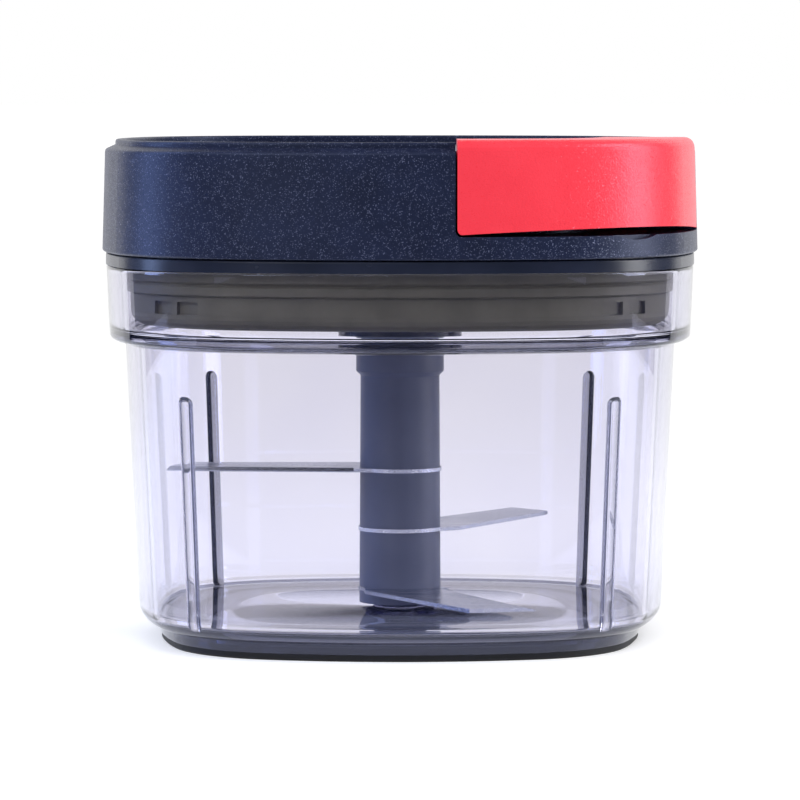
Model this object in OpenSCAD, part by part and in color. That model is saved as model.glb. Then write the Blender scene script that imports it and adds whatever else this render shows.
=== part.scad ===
// Pull-string food chopper: a clear bowl with a three-blade stem, and a lid that holds
// a spring-wound cord reel, a ratchet and a corner pull handle.
// Z points up, X to the right and Y away from the front. The origin is on the resting
// face, under the middle of the bowl.

/* [Outline] */
// Width of the lid across its sides
lid_w = 125.4; // [118:0.2:140]
// Radius of the four corners
corner_round = 40.3; // [36:0.1:46]

/* [Bowl] */
// Setback of the rim collar from the lid's lower edge
collar_inset = 0.8; // [0.4:0.1:1.5]
// Draft of the collar over its height
collar_draft = 0.6; // [0.3:0.1:1]
// Step from the collar in to the body
body_step = 3.3; // [2.8:0.1:4.5]
// Draft of the body over its height
body_draft = 2.6; // [1:0.1:4]
// Setback of the foot from the body's lower edge
foot_inset = 4.6; // [4.5:0.1:8]
// Wall of the bowl
bowl_wall = 2; // [1.6:0.1:2.4]
// Floor of the bowl
floor_t = 2.4; // [2:0.1:3.5]
// Height from the underside of the foot to the rim
bowl_h = 77.6; // [72:0.2:95]
// Height of the rim collar
collar_h = 15.7; // [14.5:0.1:20]
// Height of the foot
foot_h = 2.3; // [2:0.1:4]
// Radius of the outer bottom edge
bottom_r = 4.4; // [3:0.1:4.5]
// Radial width of the foot
foot_t = 10; // [9:0.5:13]
// Width of an inner rib
rib_w = 3.1; // [2:0.1:3.6]
// Height of an inner rib above the floor
rib_h = 47.3; // [30:0.1:52]

/* [Base ring] */
// Height of the ring that shows under the foot
ring_h = 1.3; // [0.8:0.1:3]
// Radial width of the ring
ring_t = 8; // [6:0.5:8.5]
// Setback of the ring from the edge of the foot
ring_inset = 0.3; // [0.1:0.1:0.5]
// Radial width of the tongue that holds the ring
tongue_t = 4; // [2:0.5:5]
// Height of the tongue
tongue_h = 1.5; // [1:0.1:2]
// Chamfer of the ring's outer lower edge
ring_chamfer = 0.4; // [0.2:0.1:0.6]

/* [Blade unit] */
// Diameter of the stem at its foot
stem_low_d = 17.2; // [16:0.1:19]
// Diameter of the stem under its top collar
stem_top_d = 16.6; // [15.5:0.1:18]
// Diameter of the stem's top collar
stem_collar_d = 18.5; // [17:0.1:19]
// Height of the stem's top collar
stem_collar_h = 5.3; // [4:0.1:9]
// Across the flats of the stem's core
core_af = 11; // [9.6:0.1:12]
// Length of the core inside the stem's top piece
core_reach = 10; // [6:0.5:18]
// Across the flats of the driving head
head_af = 9; // [7:0.1:11]
// Height of the driving head
head_h = 7; // [5:0.1:7.4]
// Height of the lowest blade above the floor
blade_first = 4; // [3:0.1:6]
// Height from one blade to the next
blade_step = 12.65; // [10:0.05:14]
// Reach of a blade from the stem's axis
blade_reach = 50.6; // [40:0.1:52]
// Thickness of a blade
blade_t = 0.8; // [0.6:0.1:1.2]
// Width of a blade behind its cutting edge, at the root
blade_front = 7; // [5:0.5:8]
// Width of a blade behind the stem's axis
blade_back = 11.5; // [9:0.5:12]
// Width of a blade in front of its middle line, at the tip
tip_front = 2.45; // [1.5:0.05:4]
// Width of a blade behind its middle line, at the tip
tip_back = 10.9; // [8:0.1:11.4]
// Setback of the tip's rear corner
tip_cut = 3.8; // [1:0.1:8]
// Diameter of the blade's ring round the stem
blade_hub_d = 17.6; // [17.4:0.1:20]
// Width of the ground cutting edge
edge_w = 2.2; // [1:0.1:4]
// Thickness that the grinding takes off
edge_cut = 0.56; // [0.3:0.02:0.7]
// Diameter of the pivot pin
pin_d = 5; // [4:0.1:5.6]
// Height of the pivot pin above the floor
pin_h = 13; // [9:0.5:16]
// Length of the pin's tapered nose
pin_nose = 1; // [0.5:0.1:1.5]
// Wall of the pivot bush
pivot_bush_t = 1.2; // [0.8:0.1:1.4]
// Diameter of the pad under the stem
pad_d = 11; // [9:0.5:16]
// Height of the pad under the stem
pad_h = 1; // [0.6:0.1:1.6]

/* [Lid] */
// Draft of the lid housing's side over its height
lid_draft = 0.6; // [0.2:0.1:1.5]
// Height of the lid housing
housing_h = 23.4; // [22.6:0.1:30]
// Wall of the lid housing
housing_wall = 2.2; // [1.6:0.1:2.6]
// Thickness of the top panel
panel_t = 2.2; // [1.6:0.1:3]
// Depth of the top panel below the rim
panel_drop = 2; // [1.2:0.1:3]
// Width of the sloping ledge between the shoulder and the rim
slope_w = 2.2; // [1.4:0.1:3]
// Rise of that ledge
slope_h = 1; // [0.5:0.1:1.4]
// Radius of the shoulder
shoulder_r = 0.8; // [0.4:0.1:1.2]
// Height of the upright rim above the ledge
rim_h = 1.1; // [0.7:0.1:1.6]
// Thickness of the rim
rim_t = 1.6; // [1.2:0.1:2.4]
// Radius of small moulded edges
edge_r = 0.5; // [0.3:0.1:0.6]
// Height of the glossy flange on the bowl's rim
flange_h = 2.5; // [2:0.1:4]
// Reach of the flange past the bowl's collar
flange_lip = 0.1; // [0:0.05:0.4]
// Shadow gap between the flange and the housing
shadow_gap = 0.2; // [0.1:0.1:0.6]
// Depth of the plug below the bowl's rim
plug_h = 11.8; // [10.6:0.1:12.4]
// Radius of the plug's lower edge
plug_r = 3; // [1:0.1:3.5]
// Wall of the plug and its plate
cover_t = 2.2; // [1.8:0.1:2.6]
// Height of the spigot that centres the cover in the housing
spigot_h = 2.4; // [1.6:0.1:2.4]
// Wall of the seal sleeve round the plug
sleeve_t = 1.6; // [1.4:0.1:2]
// Width of the sleeve's toe under the plug
toe_w = 3; // [2:0.1:5]
// Height of the sealing lips
seal_h = 4.7; // [3:0.1:6]
// Depth of the groove between the lips
lip_groove = 0.5; // [0.2:0.1:0.8]
// Width of a moulded pocket in the sleeve's corners
pocket_w = 5.4; // [3:0.1:6]
// Height of a pocket
pocket_h = 2.6; // [1.5:0.1:3.5]
// Depth of a pocket
pocket_depth = 0.9; // [0.4:0.1:1]
// Distance of the cover screws from the axis
screw_at = 38; // [35:0.5:39]
// Diameter of a screw boss
boss_d = 8; // [7:0.1:9]
// Diameter of a screw's shank
screw_d = 2.8; // [2.2:0.1:3.2]
// Diameter of a screw's head
screw_head_d = 5.6; // [5:0.1:6]
// Height of a screw's head
screw_head_h = 2; // [1.5:0.1:2.2]
// Width of the cross in a screw's head
cross_w = 0.8; // [0.6:0.1:1]
// Length of the cross in a screw's head
cross_l = 3.4; // [2.4:0.1:4]
// Depth of a screw's head in its counterbore
screw_sink = 0.5; // [0.2:0.1:0.8]
// Length of a screw's thread in its boss
screw_bite = 8; // [5:0.5:10]

/* [Handle] */
// Distance from the lid's middle planes to the handle's ends
handle_start = 11.4; // [9:0.2:18]
// Depth of the handle from the lid's side
handle_depth = 20; // [18:0.5:21]
// Outer wall of the handle
handle_wall = 3; // [2:0.1:3.6]
// Top and end walls of the handle
handle_top_t = 2.6; // [2:0.1:3.2]
// Height of the handle above the lid's rim
handle_rise = 0.5; // [0.2:0.1:1.5]
// Radius of the handle's upper outer edge
handle_edge_r = 2.2; // [1:0.1:2.6]
// Radius of the lower corners of the handle and its recess
handle_corner_r = 1.2; // [0.6:0.1:1.8]
// Height of the recess ledge above the housing's lower edge
ledge_h = 4.6; // [3.5:0.1:6]
// Rise of the arch along the handle's lower edge
arch_rise = 1.3; // [0.4:0.1:2]
// Width of the finger notch in the ledge
notch_w = 12; // [8:0.5:20]
// Depth of the finger notch in the ledge
notch_depth = 0.9; // [0.4:0.1:1.4]
// Clearance of the cord in its eyelet
eyelet_gap = 0.9; // [0.4:0.1:1.2]
// Wall of the eyelet
eyelet_t = 0.9; // [0.6:0.1:1.2]
// Width and height of the eyelet's rim
eyelet_rim = 0.8; // [0.5:0.1:1]
// Width of the block that holds the cord's knot
block_w = 13; // [10:0.5:16]
// Setback of that block from the handle's inner edge
block_inset = 1; // [0.5:0.1:2]
// Wall between the knot's pocket and the handle's outer wall
pocket_wall = 1.5; // [1:0.1:2]
// Diameter of the knot
knot_d = 5.2; // [4:0.1:6]
// Clearance of the knot in its pocket
knot_gap = 0.4; // [0.3:0.05:0.6]
// Thickness of the plug that closes the pocket
plug_t = 2; // [1.4:0.1:3]

/* [Reel and ratchet] */
// Diameter of the cord
cord_d = 1.6; // [1.2:0.1:1.8]
// Turns of cord on the drum
cord_turns = 4; // [3:1:4]
// Gap between the turns
cord_gap = 0.45; // [0.42:0.01:0.6]
// Diameter of the drum
drum_d = 35.8; // [34:0.2:40]
// Clearance of the cord over the drum
cord_lift = 0.3; // [0.25:0.05:0.6]
// Diameter of the drum's flanges
reel_d = 48; // [45:0.5:56]
// Thickness of the drum's flanges
reel_flange_t = 1.2; // [1:0.1:1.6]
// Thickness of the web under the spring
web_t = 1.6; // [1.2:0.1:2.2]
// Diameter of the post that carries the reel
post_d = 8; // [7:0.1:9]
// Thickness of the washer under the hub
washer_t = 0.8; // [0.5:0.1:1.2]
// Diameter of the hub that carries the pawls
hub_d = 15; // [13:0.5:16]
// Height of the hub below the web
hub_h = 6.8; // [6:0.1:7.4]
// Seat of the spring's cover round the chamber
cover_seat = 1; // [0.6:0.1:1.4]
// Inner diameter of the spring chamber
chamber_d = 30; // [27:0.5:31]
// Thickness of the spring strip
strip_t = 0.5; // [0.3:0.05:0.6]
// Turns of the spring
spring_turns = 6; // [4:1:7]
// Outer diameter of the ratchet cup
cup_d = 41.2; // [40:0.2:46]
// Diameter at the roots of the ratchet teeth
tooth_root_d = 37.6; // [37:0.1:38.4]
// Depth of the ratchet teeth
tooth_h = 2; // [1.4:0.1:2.2]
// Lean of the teeth's steep faces, in degrees
tooth_lean = 4; // [3:0.5:5]
// Number of ratchet teeth
tooth_n = 12; // [8:2:14]
// Distance of the pawl pivots from the axis
pawl_at = 11.5; // [11:0.1:12]
// Diameter of the pawl pivots
pawl_pin_d = 3; // [2.4:0.1:3.4]
// Wall of a pawl round its pivot
pawl_wall = 1.1; // [0.8:0.1:1.3]
// Width of a pawl's tip
tip_w = 2.4; // [1.6:0.1:3]
// Clearance of the tip from the teeth's roots
tip_lift = 0.8; // [0.5:0.1:1]
// Diameter of the driving shaft
shaft_d = 19; // [17:0.1:20]
// Wall of the driving shaft's bush
bush_t = 1.9; // [1.4:0.1:2.4]
// Thickness of the bush's flange and of the cup's floor
bush_flange_t = 2.3; // [1.6:0.1:2.6]
// Radial width of the bush's flange
bush_flange_w = 2.5; // [1.5:0.1:3]
// Diameter of the boss round the driving shaft
shaft_boss_d = 26; // [25.4:0.2:30]
// Height of that boss below the plug
shaft_boss_h = 4.8; // [3.6:0.1:5.4]
// Length of the shaft below that boss
shaft_end = 1.2; // [0.6:0.1:2]

/* [Clearances] */
// Radial clearance of a shaft in its bore
run_gap = 0.05; // [0.02:0.01:0.1]
// Clearance of a seated piece
seat_gap = 0.05; // [0.02:0.01:0.1]
// Clearance of pieces that pass each other
move_gap = 0.35; // [0.3:0.05:0.5]
// Clearance round the handle
handle_gap = 0.4; // [0.3:0.05:0.6]
// Clearance between the plug and the bowl's collar
plug_gap = 1; // [0.8:0.1:1.4]

/* [Hidden] */
$fn = 96;

// Plan outline: four side arcs and four corner arcs, tangent to each other. The line from a
// side's centre to a corner's centre is the long side of a 7, 24, 25 triangle, in these units
unit = round((lid_w / 2 - corner_round) / 8 * 1000) / 1000;
corner_c = 7 * unit;
side_c = -17 * unit;
side_r = lid_w / 2 + 17 * unit;
corner_r = lid_w / 2 - 8 * unit;
// A far point on the seam line between a side and a corner, seen from the arcs' centres
seam_x = 240;
seam_y = 70;
// Start of a corner's sweep, a little before the seam, so that it runs into the side
seam_lap_a = 1.26;
corner_from = atan2(seam_y, seam_x) - seam_lap_a;
// Setback at which floors and panels change from swept edges to plain slabs
slab_d = -25;
slab_lap = 2;

// Heights of the bowl
z_foot = ring_h;
z_under = z_foot + foot_h;
z_floor = z_under + floor_t;
z_rim = z_foot + bowl_h;
z_step = z_rim - collar_h;
z_low = z_under + bottom_r;
// Setbacks of the bowl's faces from the lid's outline
d_collar = -collar_inset;
d_collar_low = d_collar - collar_draft;
d_body = d_collar_low - body_step;
d_low = d_body - body_draft;
d_foot = d_low - foot_inset;
d_tongue = d_foot - ring_inset - (ring_t - tongue_t) / 2;
rim_r = bowl_wall * 0.3;
step_r = bowl_wall * 0.6;
inner_r = bottom_r - bowl_wall / 2;
wall_lean = atan2(d_body - d_low, z_step - z_low);

// Heights of the lid
z_plug = z_rim - plug_h;
z_plate = z_plug + cover_t;
z_flange = z_rim + flange_h;
z_lid = z_flange + shadow_gap;
z_top = z_lid + housing_h;
z_panel = z_top - panel_drop;
z_ceiling = z_panel - panel_t;
z_ledge = z_lid + ledge_h;
z_handle = z_ledge + move_gap;
z_seal = z_rim - seal_h;
z_boss_joint = z_plate + bush_flange_t + spigot_h;
// Setbacks of the lid's faces
d_lid_top = -lid_draft;
d_housing_in = -housing_wall;
d_collar_in = d_collar_low - bowl_wall;
d_plug = d_collar_in - plug_gap;
d_core = d_plug - sleeve_t;
d_plug_in = d_core - cover_t;
d_toe = d_plug - plug_r - toe_w;
d_seal = d_collar_in + (d_collar - d_collar_low) * (z_seal - z_step) / collar_h - move_gap;
d_recess = -handle_depth - handle_gap;
d_recess_in = d_recess - housing_wall;
slope_a = atan2(slope_h, slope_w);
d_rim = d_lid_top - slope_w;
z_rim_foot = z_top - rim_h;

// Heights of the driving shaft and the stem
z_shaft_boss = z_plug - shaft_boss_h;
z_shaft = z_shaft_boss - shaft_end;
z_stem_top = z_shaft - 2 * move_gap;
z_stem = z_floor + pad_h;
z_core_top = z_floor + blade_first + 2 * blade_step + blade_t / 2 + core_reach;
z_cup = z_plate + bush_flange_t;
z_cup_floor = z_cup + bush_flange_t;
bush_r = shaft_d / 2 + bush_t;
pivot_bush_r = pin_d / 2 + run_gap + pivot_bush_t;

// Heights of the reel, from the ceiling down
cord_pitch = cord_d + cord_gap;
z_reel_top = z_ceiling - 2 * move_gap;
z_drum_top = z_reel_top - reel_flange_t;
z_cord = z_drum_top - move_gap - cord_d / 2;
z_drum = z_cord - cord_turns * cord_pitch - cord_d / 2 - move_gap;
z_web = z_drum - web_t;
z_hub = z_web - hub_h;
z_post = z_hub - move_gap / 2;
z_cup_top = z_web - 2 * move_gap;
pawl_z = z_hub + 2 * move_gap;
pawl_t = z_web - move_gap - pawl_z;
wind_r = drum_d / 2 + cord_lift + cord_d / 2;

// The cord runs along the front right diagonal, where the handle is pulled
pull_turn = -45;
u_wall = diagonal(d_recess);
u_bend = u_wall - housing_wall / 2;
u_block = diagonal(-handle_depth) + block_inset;
u_knot = diagonal(-handle_wall) - pocket_wall - knot_d / 2;
z_block = z_handle + arch_rise + 2 * move_gap;
exit_a = -acos(wind_r / u_bend);
eyelet_r = cord_d / 2 + eyelet_gap;

// Ratchet: the pawls' tips stand just behind the steep faces of the teeth
tip_a = 40;
tip_gap_a = 2;
land_a = 4;
back_a = 16;
tip_r = tooth_root_d / 2 - tip_lift;

// Helpers

// Distance from the axis to the outline, set off by d, along a diagonal
function diagonal(d) = corner_c * sqrt(2) + corner_r + d;

// Points of an arc
function arc(x, y, r, from, to, n = 5) =
    [for (i = [0:n]) let (a = from + (to - from) * i / n) [x + r * cos(a), y + r * sin(a)]];

// Point at a radius and an angle
function polar(r, a) = [r * cos(a), r * sin(a)];

// Setback of the lid's side at a height
function lid_d(z) = d_lid_top * (z - z_lid) / housing_h;

// Radius of the tapering stem at a height
function stem_r(z) =
    (stem_low_d + (stem_top_d - stem_low_d) * (z - z_stem) / (z_stem_top - z_stem)) / 2;

// Height of the middle of a blade, counted from the lowest
function blade_z(i) = z_floor + blade_first + i * blade_step;

// Sectors of a side and of a corner about their arcs' centres, between the seam lines
module side_sector() {
    polygon([[0, 0], [seam_x, -seam_y], [seam_x, seam_y]]);
}

module corner_sector() {
    polygon([[0, 0], [seam_x, seam_y], [seam_x, seam_x], [seam_y, seam_x]]);
}

// Plan outline of the lid, set off by d
module outline(d) {
    for (k = [0:3]) rotate(90 * k) {
        translate([side_c, 0]) intersection() {
            circle(side_r + d);
            side_sector();
        }
        translate([corner_c, corner_c]) intersection() {
            circle(corner_r + d);
            corner_sector();
        }
    }
}

// Level slab of the outline
module slab(d, z0, z1) {
    translate([0, 0, z0]) linear_extrude(z1 - z0) outline(d);
}

// Sweep of a profile round the outline, with x as the setback and y as the height
module around() {
    for (k = [0:3]) rotate(90 * k) {
        translate([side_c, 0]) intersection() {
            rotate_extrude(angle = 40, start = -20) translate([side_r, 0]) children();
            linear_extrude(3 * z_top, center = true) side_sector();
        }
        translate([corner_c, corner_c]) rotate_extrude(angle = 90 - 2 * corner_from, start = corner_from)
            translate([corner_r, 0]) children();
    }
}

// The front right corner beyond a distance from both middle planes and above a height, with
// rounded lower corners
module corner_zone(start, z0) {
    section = concat(
        [
            [lid_w, z0],
            [lid_w, 2 * z_top],
            [start, 2 * z_top]
        ],
        arc(start + handle_corner_r, z0 + handle_corner_r, handle_corner_r, 180, 270)
    );
    intersection() {
        rotate([90, 0, 0]) linear_extrude(lid_w) polygon(section);
        rotate(-90) rotate([90, 0, 0]) linear_extrude(2 * lid_w, center = true) polygon(section);
    }
}

// Copies at the four sides
module four_sides() {
    for (k = [0:3]) rotate(90 * k) children();
}

// Straight bar with hexagonal section
module hex_bar(af, z0, z1) {
    translate([0, 0, z0]) cylinder(h = z1 - z0, r = af / sqrt(3), $fn = 6);
}

// Upright cylinder between two heights
module post(d, z0, z1) {
    translate([0, 0, z0]) cylinder(h = z1 - z0, d = d);
}

// Cylinder that lies along the pull direction, from u0 to u1
module pull_bar(d, u0, u1, z) {
    rotate(pull_turn) translate([u0, 0, z]) rotate([0, 90, 0]) cylinder(h = u1 - u0, d = d);
}

// Bowl

module bowl_section() {
    polygon(concat(
        [
            [d_foot, z_foot],
            [d_foot, z_under]
        ],
        arc(d_low - bottom_r, z_low, bottom_r, -90, 0),
        [
            [d_body, z_step]
        ],
        arc(d_collar_low - step_r, z_step + step_r, step_r, -90, 0),
        arc(d_collar - rim_r, z_rim - rim_r, rim_r, 0, 90),
        arc(d_collar - bowl_wall + rim_r, z_rim - rim_r, rim_r, 90, 180),
        [
            [d_collar_in, z_step + bowl_wall + step_r],
            [d_collar_in - step_r, z_step + bowl_wall]
        ],
        arc(d_body - bowl_wall + rim_r, z_step + bowl_wall - rim_r, rim_r, 90, 180),
        arc(d_low - bowl_wall - inner_r, z_floor + inner_r, inner_r, 0, -90),
        [
            [slab_d - slab_lap, z_floor],
            [slab_d - slab_lap, z_under],
            [d_foot - foot_t, z_under],
            [d_foot - foot_t, z_foot],
            [d_tongue - tongue_t - seat_gap, z_foot],
            [d_tongue - tongue_t - seat_gap, z_foot + tongue_h + seat_gap],
            [d_tongue + seat_gap, z_foot + tongue_h + seat_gap],
            [d_tongue + seat_gap, z_foot]
        ]
    ));
}

module bowl_rib() {
    rib_z = z_floor - floor_t / 2;
    rib_u = diagonal(d_low - bowl_wall + (rib_z - z_low) * tan(wall_lean));
    rib_len = rib_h + floor_t / 2 - rib_w / 2;
    rotate(45) translate([rib_u, 0, rib_z]) rotate([0, wall_lean, 0]) {
        cylinder(h = rib_len, d = rib_w);
        translate([0, 0, rib_len]) sphere(d = rib_w);
    }
}

module bowl() {
    color([0.86, 0.87, 0.95, 0.4]) difference() {
        union() {
            around() bowl_section();
            slab(slab_d, z_under, z_floor);
            four_sides() bowl_rib();
            post(pad_d, z_under, z_stem);
        }
        post(pin_d + 2 * seat_gap, z_under + floor_t / 2, z_stem + 1);
    }
}

module anti_slip_ring() {
    d_ring = d_foot - ring_inset;
    color([0.09, 0.1, 0.13]) around() polygon([
        [d_ring, ring_chamfer],
        [d_ring, z_foot],
        [d_tongue, z_foot],
        [d_tongue, z_foot + tongue_h],
        [d_tongue - tongue_t, z_foot + tongue_h],
        [d_tongue - tongue_t, z_foot],
        [d_ring - ring_t, z_foot],
        [d_ring - ring_t, 0],
        [d_ring - ring_chamfer, 0]
    ]);
}

module pivot_pin() {
    z_nose = z_floor + pin_h - pin_nose;
    color([0.78, 0.79, 0.8]) {
        post(pin_d, z_under + floor_t / 2, z_nose);
        translate([0, 0, z_nose]) cylinder(h = pin_nose, d1 = pin_d, d2 = pin_d - 2 * pin_nose);
    }
}

// Blade unit

module stem_piece(z0, z1) {
    translate([0, 0, z0]) cylinder(h = z1 - z0, r1 = stem_r(z0), r2 = stem_r(z1));
}

module stem_ring(z0, z1) {
    color([0.22, 0.25, 0.34]) difference() {
        stem_piece(z0, z1);
        hex_bar(core_af + 2 * seat_gap, z0 - 1, z1 + 1);
    }
}

module stem_top() {
    z0 = blade_z(2) + blade_t / 2;
    z_collar = z_stem_top - stem_collar_h;
    step = (stem_collar_d - stem_top_d) / 2;
    color([0.22, 0.25, 0.34]) difference() {
        union() {
            stem_piece(z0, z_collar);
            translate([0, 0, z_collar]) cylinder(h = step, d1 = 2 * stem_r(z_collar), d2 = stem_collar_d);
            post(stem_collar_d, z_collar + step, z_stem_top);
            hex_bar(head_af, z_stem_top, z_stem_top + head_h);
        }
        hex_bar(core_af + 2 * seat_gap, z0 - 1, z_core_top + seat_gap);
    }
}

module stem_spacer_upper() {
    stem_ring(blade_z(1) + blade_t / 2, blade_z(2) - blade_t / 2);
}

module stem_spacer_lower() {
    stem_ring(blade_z(0) + blade_t / 2, blade_z(1) - blade_t / 2);
}

module stem_foot() {
    stem_ring(z_stem, blade_z(0) - blade_t / 2);
}

module stem_core() {
    color([0.3, 0.32, 0.38]) difference() {
        hex_bar(core_af, z_stem, z_core_top);
        post(2 * (pivot_bush_r + seat_gap), z_stem - 1, z_floor + pin_h + 1);
    }
}

module pivot_bush() {
    color([0.85, 0.83, 0.76]) difference() {
        post(2 * pivot_bush_r, z_stem, z_floor + pin_h);
        post(pin_d + 2 * run_gap, z_stem - 1, z_floor + pin_h + 1);
    }
}

// One blade along +X: the cutting edge is on the +Y side
module blade(i, turn) {
    root = blade_hub_d / 2;
    edge_turn = atan2(blade_front - tip_front, blade_reach);
    color([0.76, 0.77, 0.79]) translate([0, 0, blade_z(i) - blade_t / 2]) rotate(turn) difference() {
        union() {
            post(blade_hub_d, 0, blade_t);
            linear_extrude(blade_t) polygon([
                [0, blade_front],
                [blade_reach, tip_front],
                [blade_reach - tip_cut, -tip_back],
                [root * 0.6, -blade_back],
                [0, -root]
            ]);
        }
        hex_bar(core_af + 2 * seat_gap, -1, blade_t + 1);
        // Ground bevel along the cutting edge, outside the stem
        translate([0, blade_front, 0]) rotate(-edge_turn) translate([root + 1, -edge_w, blade_t])
            rotate([-atan2(edge_cut, edge_w), 0, 0]) cube([blade_reach, 2 * edge_w, 2 * blade_t]);
    }
}

module blade_upper() {
    blade(2, 180);
}

module blade_middle() {
    blade(1, 60);
}

module blade_lower() {
    blade(0, -60);
}

// Lid

module housing_section() {
    // The shoulder's arc touches the side and the sloping ledge
    z_shoulder = z_rim_foot + tan(slope_a) * (shoulder_r - slope_w) - shoulder_r / cos(slope_a);
    polygon(concat(
        arc(-edge_r, z_lid + edge_r, edge_r, -90, 0),
        arc(d_lid_top - shoulder_r, z_shoulder, shoulder_r, 0, 90 - slope_a),
        [
            [d_rim, z_rim_foot]
        ],
        arc(d_rim - edge_r, z_top - edge_r, edge_r, 0, 90),
        arc(d_rim - rim_t + edge_r, z_top - edge_r, edge_r, 90, 180),
        [
            [d_rim - rim_t, z_panel],
            [slab_d - slab_lap, z_panel],
            [slab_d - slab_lap, z_ceiling],
            [d_lid_top + d_housing_in, z_ceiling],
            [d_housing_in, z_lid]
        ]
    ));
}

// Solid that the handle's recess is cut from
module recess_block() {
    d_out = d_lid_top + d_housing_in / 2;
    intersection() {
        around() polygon([
            [d_out, z_ledge - housing_wall],
            [d_out, z_panel],
            [d_recess_in, z_panel],
            [d_recess_in, z_ledge - housing_wall]
        ]);
        corner_zone(handle_start - handle_gap - housing_wall, z_lid);
    }
}

module recess_cut() {
    notch_r = (notch_w * notch_w / 4 + notch_depth * notch_depth) / (2 * notch_depth);
    intersection() {
        around() polygon([
            [corner_r, z_ledge],
            [corner_r, 2 * z_top],
            [d_recess, 2 * z_top],
            [d_recess, z_ledge]
        ]);
        corner_zone(handle_start - handle_gap, z_ledge);
    }
    pull_bar(2 * notch_r, diagonal(-housing_wall), diagonal(housing_wall), z_ledge + notch_r - notch_depth);
}

module lid_housing() {
    color([0.16, 0.18, 0.27]) difference() {
        union() {
            around() housing_section();
            slab(slab_d, z_ceiling, z_panel);
            recess_block();
            post(post_d, z_post, z_ceiling + panel_t / 2);
            four_sides() translate([screw_at, 0, 0]) post(boss_d, z_boss_joint, z_ceiling + panel_t / 2);
        }
        recess_cut();
        post(screw_d + 2 * seat_gap, z_post - 1, z_post + screw_bite + 1);
        four_sides() translate([screw_at, 0, 0])
            post(screw_d + 2 * seat_gap, z_boss_joint - 1, z_boss_joint + screw_bite + 1);
        pull_bar(2 * (eyelet_r + eyelet_t + seat_gap), u_wall - 2 * housing_wall, u_wall + 1, z_cord);
    }
}

module cover_section() {
    d_flange = d_collar + flange_lip;
    d_spigot = d_housing_in - 2 * seat_gap;
    polygon(concat(
        [
            [d_toe, z_plug],
            [d_toe, z_plug + sleeve_t]
        ],
        arc(d_plug - plug_r, z_plug + plug_r, plug_r - sleeve_t, -90, 0),
        [
            [d_core, z_rim],
            [d_flange, z_rim]
        ],
        arc(d_flange - edge_r, z_flange - edge_r, edge_r, 0, 90),
        [
            [d_spigot, z_flange],
            [d_spigot, z_flange + spigot_h],
            [d_spigot - cover_t, z_flange + spigot_h],
            [d_spigot - cover_t, z_flange],
            [d_plug_in, z_flange],
            [d_plug_in, z_plate],
            [slab_d - slab_lap, z_plate],
            [slab_d - slab_lap, z_plug]
        ]
    ));
}

module lower_cover() {
    color([0.2, 0.21, 0.24]) difference() {
        union() {
            around() cover_section();
            slab(slab_d, z_plug, z_plate);
            four_sides() translate([screw_at, 0, 0]) post(boss_d, z_plug, z_boss_joint);
            post(shaft_boss_d, z_shaft_boss, z_plate);
        }
        post(2 * (bush_r + seat_gap), z_shaft_boss - 1, z_plate + 1);
        four_sides() translate([screw_at, 0, 0]) {
            post(screw_d + 2 * seat_gap, z_plug - 1, z_boss_joint + 1);
            post(screw_head_d + 4 * seat_gap, z_plug - 1, z_plug + screw_head_h + screw_sink);
        }
    }
}

// Sleeve with two lips, whose toe wraps the plug's lower edge
module seal_section() {
    inner_arc = arc(d_plug - plug_r, z_plug + plug_r, plug_r - sleeve_t + seat_gap, 0, -90);
    lip_split = 0.45;
    z_groove = z_seal + seal_h * lip_split;
    z_top_lip = z_rim - seat_gap;
    polygon(concat(
        [
            [d_toe + seat_gap, z_plug]
        ],
        arc(d_plug - plug_r, z_plug + plug_r, plug_r, -90, 0),
        [
            [d_plug, z_seal - lip_groove],
            [d_seal, z_seal],
            [d_seal, z_groove - lip_groove],
            [d_seal - lip_groove, z_groove],
            [d_seal, z_groove + lip_groove],
            [d_seal, z_top_lip - lip_groove],
            [d_seal - lip_groove, z_top_lip],
            [d_core + seat_gap, z_top_lip]
        ],
        inner_arc,
        [
            [d_toe + seat_gap, z_plug + sleeve_t - seat_gap]
        ]
    ));
}

// Pairs of shallow pockets beside the diagonals, under the lips
module sleeve_pockets() {
    r = corner_r + d_plug;
    pocket_a = asin((pocket_w + sleeve_t) / 2 / r);
    four_sides() translate([corner_c, corner_c, z_plug + plug_r]) for (side = [-1, 1])
        rotate(45 + side * pocket_a) translate([r - pocket_depth, -pocket_w / 2, 0])
            cube([2 * pocket_depth, pocket_w, pocket_h]);
}

module seal_ring() {
    color([0.32, 0.32, 0.31]) difference() {
        around() seal_section();
        sleeve_pockets();
    }
}

module screw(z_head, length) {
    translate([0, 0, z_head - screw_head_h]) difference() {
        union() {
            cylinder(h = screw_head_h, d = screw_head_d);
            cylinder(h = screw_head_h + length, d = screw_d);
        }
        for (turn = [0, 90]) rotate(turn) cube([cross_l, cross_w, screw_head_h], center = true);
    }
}

module cover_screws() {
    z_head = z_plug + screw_head_h + screw_sink;
    color([0.62, 0.63, 0.65]) four_sides() translate([screw_at, 0, 0])
        screw(z_head, z_boss_joint + screw_bite - z_head);
}

module reel_screw() {
    color([0.62, 0.63, 0.65]) screw(z_post - washer_t, washer_t + screw_bite);
}

module reel_washer() {
    color([0.7, 0.71, 0.73]) difference() {
        post(hub_d - 2 * move_gap, z_post - washer_t, z_post);
        post(screw_d + 2 * seat_gap, z_post - washer_t - 1, z_post + 1);
    }
}

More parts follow.
